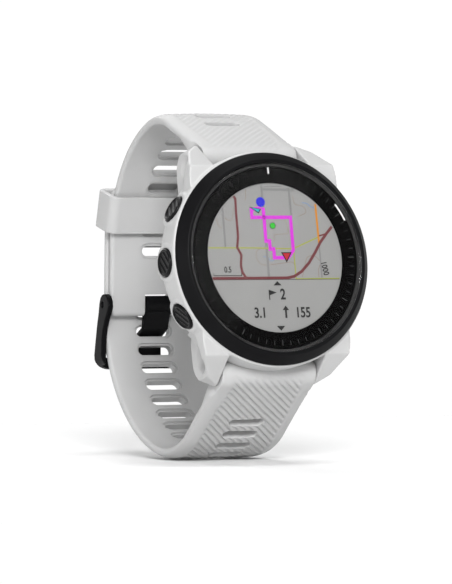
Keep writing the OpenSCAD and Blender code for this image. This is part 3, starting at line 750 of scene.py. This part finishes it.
page = Print(on_dial)
page.shape(disc_outline(0, 0, SCREEN_R + 0.4, 128), SCREEN_GREY, 0, LAYER_T)
LINES = [
    ("contour", 0.13, [(-12.9, 8.3), (-12.1, 6.6), (-11.3, 6.0)], True),
    ("contour", 0.13, [(-10.8, 8.2), (-9.6, 7.6), (-8.8, 8.1), (-8.4, 10.2)], True),
    ("contour", 0.13, [(-5.5, 14.2), (-5.4, 12.4), (-5.7, 11.6)], True),
    ("contour", 0.13, [(0.2, 3.2), (0.4, 4.6), (2.0, 4.8), (3.5, 5.1), (3.2, 7.0),
                       (2.9, 7.8)], True),
    ("contour", 0.13, [(5.2, 12.6), (5.6, 10.9), (7.4, 10.4), (7.9, 9.2), (6.2, 8.4)], True),
    ("contour", 0.13, [(-1.5, 2.2), (-3.7, 1.6), (-4.2, 0.2), (-3.2, -1.3), (-1.2, -1.4),
                       (1.6, -1.1), (3.8, -0.9), (4.4, -1.6)], True),
    ("contour", 0.13, [(5.8, -4.0), (6.4, -2.4), (7.3, 0.0), (9.0, 0.3), (10.2, -0.7)], True),
    ("contour", 0.13, [(9.6, -4.0), (9.7, -2.4), (10.1, -1.5)], True),
    ("water", 0.14, [(7.2, 11.2), (8.3, 11.0), (9.0, 10.4), (10.0, 10.1)], True),
    ("water", 0.12, [(-2.6, 0.3), (-1.5, 0.0), (-1.0, -0.6), (-0.2, -0.5)], True),
    ("street", 0.5, [(-1.7, 14.9), (-1.7, -3.9)], False),
    ("street", 0.45, [(-10.9, 10.2), (-10.9, 2.2)], False),
    ("street", 0.5, [(4.5, 14.3), (4.5, 8.3)], False),
    ("street", 0.5, [(-1.7, 13.9), (5.8, 13.9)], False),
    ("street", 0.22, [(-1.2, 14.5), (2.9, 14.5)], False),
    ("street", 0.3, [(10.3, 3.0), (10.3, -4.1)], False),
    ("olive", 0.24, [(-15.0, 2.1), (-4.0, 2.0), (3.6, 1.8), (5.0, 2.1), (10.1, 4.1)], False),
    ("olive", 0.22, [(4.4, 1.6), (4.4, -4.3), (14.4, -4.3)], False),
    ("orange", 0.42, [(10.3, 11.0), (10.3, 3.0)], False),
    ("highway", 0.5, [(-8.5, 12.9), (-7.8, 12.0), (-7.9, 9.0), (-7.9, 4.3), (-8.3, 2.1),
                      (-7.5, 0.6), (-7.8, -1.6), (-7.6, -2.9), (-6.8, -4.1)], False),
    ("highway", 0.58, [(-14.4, -4.1), (-6.8, -4.1), (2.4, -4.1), (4.0, -3.8), (5.8, -2.8),
                       (7.6, -1.1), (9.2, 1.0), (10.6, 3.1), (12.2, 4.9), (13.8, 6.4)], False),
    ("highway", 0.3, [(10.4, 4.4), (12.0, 4.8)], False),
    ("route", 0.72, [(-1.7, 10.2), (-1.7, 3.4), (-0.9, 3.4), (-0.9, 1.8), (-0.1, 1.8),
                     (-0.1, 0.0), (3.0, 0.0), (4.3, 1.5), (4.3, 8.2), (-4.4, 8.2),
                     (-4.4, 9.8), (-2.2, 10.1)], False),
    ("dark", 0.1, [(-14.4, -4.45), (14.4, -4.45)], False),
    ("dark", 0.14, [(-14.0, -3.1), (-14.0, -3.55), (-7.8, -3.55), (-7.8, -3.1)], False),
    ("dark", 0.42, [(1.45, -12.2), (1.45, -10.3)], False),
    ("dark", 0.2, [(-1.95, -8.5), (-1.95, -6.5)], False),
]
for k, (color, width, points, smooth) in enumerate(LINES):
    path = inside_screen(points)
    path = curve_points(path) if smooth else path
    page.line(path, width, INK[color], 0, LAYER_T * 1.2 + LINE_STEP * (k + 1))
TOP = LAYER_T * 2 + LINE_STEP * len(LINES)
SHAPES = [
    ("dark", [(-2.85, 9.0), (-4.9, 10.35), (-2.2, 9.9)]),
    ("teal", [(-2.9, 9.25), (-4.5, 10.2), (-2.45, 9.85)]),
    ("blue", disc_outline(-2.2, 11.3, 1.0)),
    ("dark", disc_outline(0.1, 6.5, 0.66)),
    ("green", disc_outline(0.1, 6.5, 0.56)),
    ("dark", [(1.5, 1.1), (3.9, 1.1), (2.6, -1.0)]),
    ("red", [(1.85, 0.9), (3.5, 0.9), (2.62, -0.55)]),
    ("dark", [(-0.85, -5.6), (0.95, -5.6), (0.05, -4.75)]),
    ("dark", [(-0.85, -13.8), (0.95, -13.8), (0.05, -14.75)]),
    ("dark", [(0.75, -10.6), (2.15, -10.6), (1.45, -9.7)]),
    ("dark", [(-1.9, -6.5), (-1.9, -7.6), (-0.3, -7.05)]),
]
for k, (color, flat) in enumerate(SHAPES):
    page.shape(flat, INK[color], 0, TOP + SHAPE_STEP * k)
NUMBERS = [("0.5", 1.7, (-10.8, -2.4), 0, 0.02), ("2", 3.0, (1.1, -7.5), 0, 0.07),
           ("3.1", 2.9, (-4.3, -11.2), 0, 0.06), ("155", 2.9, (5.3, -11.2), 0, 0.06),
           ("1000", 1.8, (11.1, -2.2), -80, 0.02)]
for text, size, middle, turn, bold in NUMBERS:
    flat, faces = digits(text, size, middle, turn, bold)
    page.lay(flat, faces, INK["dark"], 0, TOP)
screen = page.build("map_page")

# Marks printed on the black mask under the glass
MASK_Y, MARK_LOW, MARK_HIGH = 0.818, -0.004, 0.008


def on_mask(angle, r, height):
    a = math.radians(angle)
    return (r * math.cos(a), MASK_Y - height, r * math.sin(a))


marks = Print(on_mask)


def tick(angle, r0, r1, width, mat):
    half = math.degrees(width / 2 / ((r0 + r1) / 2))
    marks.shape([(angle - half, r0), (angle + half, r0), (angle + half, r1), (angle - half, r1)],
                mat, MARK_LOW, MARK_HIGH)


TOP_MINUTE = 15             # the tick at 12 o'clock, which is white and longer
for k in range(60):
    hour = k % 5 == 0
    if k != TOP_MINUTE:
        tick(6 * k, 16.6 if hour else 16.9, 17.8, 0.2 if hour else 0.14, MARK_GREY)
tick(6 * TOP_MINUTE, 17.0, 18.3, 0.34, MARK_WHITE)
ARC = frange(36.5, 24.5, 1.0)
marks.lay([(a, 17.95) for a in ARC] + [(a, 18.3) for a in reversed(ARC)],
          [(i, i + 1, 2 * len(ARC) - 2 - i, 2 * len(ARC) - 1 - i) for i in range(len(ARC) - 1)],
          MARK_WHITE, MARK_LOW, MARK_HIGH)
marks.build("dial_marks")

# Small raised signs on the sloping ring beside the buttons
SIGN_R, CONE_R, CONE = 20.6, 19.75, 1.1


def on_ring(angle):
    """Places a sign's (u along the ring, v outwards) on the ring's slope at an angle."""
    def place(u, v, height):
        r = SIGN_R + v * 0.7
        a = math.radians(angle) - u / r
        y = 0.02 + (r - CONE_R) * CONE - height
        return (r * math.cos(a), y, r * math.sin(a))
    return place


SIGN_W, SIGN_LOW, SIGN_HIGH = 0.2, -0.05, 0.03
DISC_POINTS = 10            # a stroke with more points than this is a filled disc
SIGNS = {
    150.3: [disc_outline(0, 0, 0.38, 20)] + [
        [(0.62 * math.cos(a), 0.62 * math.sin(a)), (0.95 * math.cos(a), 0.95 * math.sin(a))]
        for a in (k * math.pi / 4 for k in range(8))],
    180.0: [[(-0.7, -0.5), (0, 0.5), (0.7, -0.5)]],
    209.7: [[(-0.7, 0.5), (0, -0.5), (0.7, 0.5)]],
    29.7: [[(-0.5, -0.7), (0.7, 0), (-0.5, 0.7), (-0.5, -0.7)]],
    -29.7: [[(0.8, -0.5), (0.8, 0.4), (-0.6, 0.4)], [(-0.1, 0.9), (-0.7, 0.4), (-0.1, -0.1)]],
}
for angle, strokes in SIGNS.items():
    sign = Print(on_ring(angle))
    for stroke in strokes:
        if angle in (180.0, 209.7):     # these point up and down the dial, along the ring
            stroke = [(v, u) for u, v in stroke]
        if len(stroke) > DISC_POINTS:
            sign.shape(stroke, MARK_GREY, SIGN_LOW, SIGN_HIGH)
        else:
            sign.line(stroke, SIGN_W, MARK_GREY, SIGN_LOW, SIGN_HIGH)
    sign.build("sign_%d" % round(angle % 360))

# ---------------------------------------------------------------- buttons
BUTTON_Y, CAP_R, CAP_FOOT, CAP_FACE = 6.36, 2.74, 20.4, 22.38
SHAFT_R, SHAFT_END, SHAFT_SIDES = 0.89, 17.05, 32
RIDGE_PITCH, RIDGE_HEIGHT = 1.25, 0.2
BUTTONS = {"light": 150.3, "up": 180.0, "down": 209.7, "start": 29.7, "back": -29.7}


def at_button(angle):
    """Turns points (outwards, across, along the case's depth) to a button's place."""
    return HEAD @ Matrix.Translation((0, BUTTON_Y, 0)) @ Matrix.Rotation(
        math.radians(-angle), 4, "Y")


def cap_mesh():
    """A cap with a rounded rim round a dished face that carries three slanted ridges."""
    count = 72
    profile = [(CAP_R, CAP_FOOT), (CAP_R, CAP_FACE - 0.35), (CAP_R - 0.05, CAP_FACE - 0.18),
               (CAP_R - 0.16, CAP_FACE - 0.05), (CAP_R - 0.32, CAP_FACE),
               (CAP_R - 0.46, CAP_FACE - 0.05), (CAP_R - 0.58, CAP_FACE - 0.24)]
    rings = 14
    inner = CAP_R - 0.58
    verts, faces = [], []
    for r, x in profile:
        verts += ring_points(x, r, count)
    for i in range(1, rings + 1):
        r = inner * (1 - i / rings)
        for k in range(count):
            a = 2 * math.pi * k / count
            u, v = r * math.cos(a), r * math.sin(a)
            across = u * 0.75 + v * 0.66
            ridge = max(0, math.cos(across * 2 * math.pi / RIDGE_PITCH)) ** 2
            bowl = CAP_FACE - 0.3 + 0.06 * (r / inner) ** 2
            verts.append((bowl + RIDGE_HEIGHT * ridge * min(1, (inner - r) / 0.3), u, v))
    levels = len(profile) + rings
    for i in range(levels - 1):
        for k in range(count):
            m = (k + 1) % count
            faces.append((i * count + k, i * count + m, (i + 1) * count + m, (i + 1) * count + k))
    faces.append(tuple(range(count)))
    # the shaft
    near, far = len(verts), len(verts) + SHAFT_SIDES
    sides = range(SHAFT_SIDES)
    for x in (SHAFT_END, CAP_FOOT + 0.1):
        verts += ring_points(x, SHAFT_R, SHAFT_SIDES)
    for k in sides:
        m = (k + 1) % SHAFT_SIDES
        faces.append((near + k, near + m, far + m, far + k))
    faces += [tuple(near + k for k in sides), tuple(far + k for k in sides)]
    return verts, faces


verts, faces = cap_mesh()
for name, angle in BUTTONS.items():
    cap = piece("cap_" + name, verts, faces, [BLACK_CAP], "button_%s_body" % name,
                at_button(angle), flat=40)
    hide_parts("button_" + name)
    set_material("clip_" + name, STEEL)

# ---------------------------------------------------------------- buckle and keeper
soften("buckle_bow", "buckle_frame", "buckle", BLACK_METAL, 0.12, 10, 0.6)
soften("buckle_prong", "buckle_tongue", "buckle", BLACK_METAL, 0.08, 6, 0.6)
soften("strap_keeper", "keeper", "keeper_band", WHITE_RUBBER, 0.15, 8, 0.6)

# ---------------------------------------------------------------- carried-over pieces
CARRIED = {
    "glass_gasket": SEAL_BLACK, "dial_mask": MASK_BLACK, "display_panel": SCREEN_GREY,
    "backlight_plate": FILM_WHITE, "display_holder": INNER_PLASTIC, "display_flex": FLEX_FILM,
    "gps_antenna": GOLD, "main_board": BOARD_GREEN, "board_chips": CHIP_BLACK,
    "chassis": INNER_PLASTIC, "battery": FOIL, "vibration_motor": STEEL, "beeper": GOLD,
    "vent_membrane": FILM_WHITE, "back_cover": GREY_PLASTIC, "back_seal": SEAL_BLACK,
    "back_screws": STEEL, "sensor_window": SENSOR_GLASS, "sensor_board": BOARD_GREEN,
    "sensor_leds": LED_GREEN, "charge_port": INNER_PLASTIC, "charge_contacts": GOLD,
    "button_seals": SEAL_BLACK, "button_switches": STEEL, "switch_flex": FLEX_FILM,
    "upper_bar_tube": STEEL, "upper_bar_pin": STEEL, "upper_bar_lever": STEEL,
    "lower_bar_tube": STEEL, "lower_bar_pin": STEEL, "lower_bar_lever": STEEL,
    "buckle_pin": BLACK_METAL,
}
for node, mat in CARRIED.items():
    set_material(node, mat)

# ---------------------------------------------------------------- camera, floor and light
TARGET = HEAD @ Vector((-1.70, 20.0, -3.75))
CAMERA_AZ, CAMERA_EL, CAMERA_DIST = math.radians(-27.43), math.radians(0.99), 1.061
LENS, SENSOR = 322.8, 36.0
camera = bpy.data.cameras.new("camera")
camera.lens, camera.sensor_width = LENS, SENSOR
camera_obj = link("camera", camera)
back = Vector((math.sin(CAMERA_AZ) * math.cos(CAMERA_EL),
               -math.cos(CAMERA_AZ) * math.cos(CAMERA_EL), math.sin(CAMERA_EL)))
camera_obj.location = TARGET + back * CAMERA_DIST
camera_obj.rotation_euler = back.to_track_quat("Z", "Y").to_euler()
bpy.context.scene.camera = camera_obj


WATCH_MID = Vector((0, 0, 0.035))


def softbox(name, place, size, power):
    """A square light that faces the middle of the watch, in metres and watts."""
    light = bpy.data.lights.new(name, "AREA")
    light.shape, light.size, light.energy = "SQUARE", size, power
    obj = link(name, light)
    obj.location = place
    obj.rotation_euler = (Vector(place) - WATCH_MID).to_track_quat("Z", "Y").to_euler()


softbox("front", (-0.52, -1.2, 0.62), 0.42, 20)
softbox("top", (0.1, -0.25, 1.2), 0.5, 6)
softbox("left", (-1.2, -0.5, 0.3), 0.4, 2.5)
softbox("rim", (0.1, 0.9, 0.9), 0.8, 6)

# A small card far in front, whose mirror image covers the upper left half of the glass
CARD_TURN, CARD_REACH, CARD_SIZE, CARD_POWER = math.radians(52), 1.3, (120, 60), 0.12
eye = HEAD.inverted() @ camera_obj.location
image = Vector((eye.x, -eye.y, eye.z))
along_edge = Vector((math.cos(CARD_TURN), 0, math.sin(CARD_TURN)))
off_edge = Vector((-math.sin(CARD_TURN), 0, math.cos(CARD_TURN)))
seen_at = off_edge * (CARD_SIZE[1] / 2)
card = bpy.data.lights.new("card", "AREA")
card.shape, card.energy = "RECTANGLE", CARD_POWER
card.size, card.size_y = [0.001 * (1 + CARD_REACH) * v for v in CARD_SIZE]
card_obj = link("card", card)
turn = Matrix([along_edge, off_edge, Vector((0, -1, 0))]).transposed()
card_obj.rotation_euler = (TILT.to_3x3() @ turn).to_euler()
card_obj.location = HEAD @ (seen_at + (seen_at - image) * CARD_REACH)

# A room that is dim overhead and bright from the horizon down, for a white backdrop. The last
# two values are the heights (as a direction's z) where the band ends and the dim part starts
BAND, ROOM, BAND_TOP, ROOM_FROM = 1.02, 0.3, 0.08, 0.2
world = bpy.data.worlds.new("studio")
world.use_nodes = True
tree = world.node_tree
coords = tree.nodes.new("ShaderNodeTexCoord")
split = tree.nodes.new("ShaderNodeSeparateXYZ")
tree.links.new(coords.outputs["Generated"], split.inputs["Vector"])
tree.links.new(map_range(tree, split.outputs["Z"], BAND, ROOM, BAND_TOP, ROOM_FROM),
               tree.nodes["Background"].inputs["Strength"])
tree.nodes["Background"].inputs["Color"].default_value = (1, 1, 1, 1)
bpy.context.scene.world = world
bpy.context.scene.view_settings.view_transform = "Standard"

SPAN, FLOOR_DROP = 0.17, 0.0001
floor_mesh = bpy.data.meshes.new("floor")
floor_mesh.from_pydata([(-SPAN, -SPAN, 0), (SPAN, -SPAN, 0), (SPAN, SPAN, 0), (-SPAN, SPAN, 0)],
                       [], [(0, 1, 2, 3)])
floor = link("floor", floor_mesh)
floor.location.z = -FLOOR_DROP
floor_mesh.materials.append(surface("floor_white", (0.86, 0.86, 0.86), 0.7, grain=3, bump=0.0,
                                    vary=0.003, specular=0.2))
